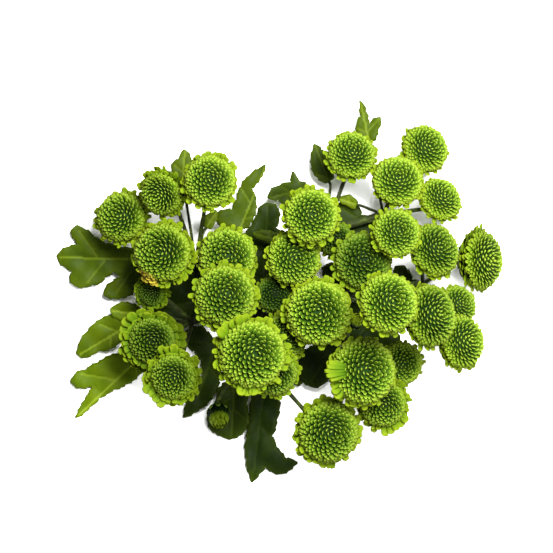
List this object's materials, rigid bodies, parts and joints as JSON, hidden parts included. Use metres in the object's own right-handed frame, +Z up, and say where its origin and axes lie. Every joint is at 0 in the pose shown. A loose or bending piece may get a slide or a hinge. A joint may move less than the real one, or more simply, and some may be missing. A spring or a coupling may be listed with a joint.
{
  "type": "pompon chrysanthemum spray",
  "caption": "Cut branching spray of green button-type pompon chrysanthemum heads, with buds and lobed leaves, resting face up on a short cut stem.",
  "frame": {"origin": "centre of the bounding box in plan, on the surface that the spray rests on", "axes": "+Z up out of the flower heads, which is the way the picture looks down; +X to the right and +Y to the top of the picture"},
  "size_m": [0.2882, 0.2478, 0.1282],
  "materials": {
    "floret": "soft satin petal",
    "bud": "soft satin petal",
    "leaf": "satin leaf",
    "stalk": "ribbed green stalk"
  },
  "bodies": {
    "root": {"bloom_01": "floret", "bloom_02": "floret", "bloom_03": "floret", "bloom_04": "floret", "bloom_05": "floret", "bloom_06": "floret", "bloom_07": "floret", "bloom_08": "floret", "bloom_09": "floret", "bloom_10": "floret", "bloom_11": "floret", "bloom_12": "floret", "bloom_13": "floret", "bloom_14": "floret", "bloom_15": "floret", "bloom_16": "floret", "bloom_17": "floret", "bloom_18": "floret", "bloom_19": "floret", "bloom_20": "floret", "bloom_21": "floret", "bloom_22": "floret", "bloom_23": "floret", "bloom_24": "floret", "bloom_25": "floret", "bloom_26": "floret", "bloom_27": "floret", "bloom_28": "floret", "bloom_29": "floret", "bloom_30": "floret", "bloom_31": "floret", "bloom_32": "floret", "bloom_33": "floret", "bud_1": "bud", "bud_2": "bud", "leaf_01": "leaf", "leaf_02": "leaf", "leaf_03": "leaf", "leaf_04": "leaf", "leaf_05": "leaf", "leaf_06": "leaf", "leaf_07": "leaf", "leaf_08": "leaf", "leaf_09": "leaf", "leaf_10": "leaf", "leaf_11": "leaf", "leaf_12": "leaf", "leaf_13": "leaf", "leaf_14": "leaf", "leaf_15": "leaf", "leaf_16": "leaf", "leaf_17": "leaf", "leaf_18": "leaf", "leaf_19": "leaf", "leaf_20": "leaf", "leaf_21": "leaf", "leaf_22": "leaf", "leaf_23": "leaf", "stem": "stalk"}
  },
  "joints": []
}
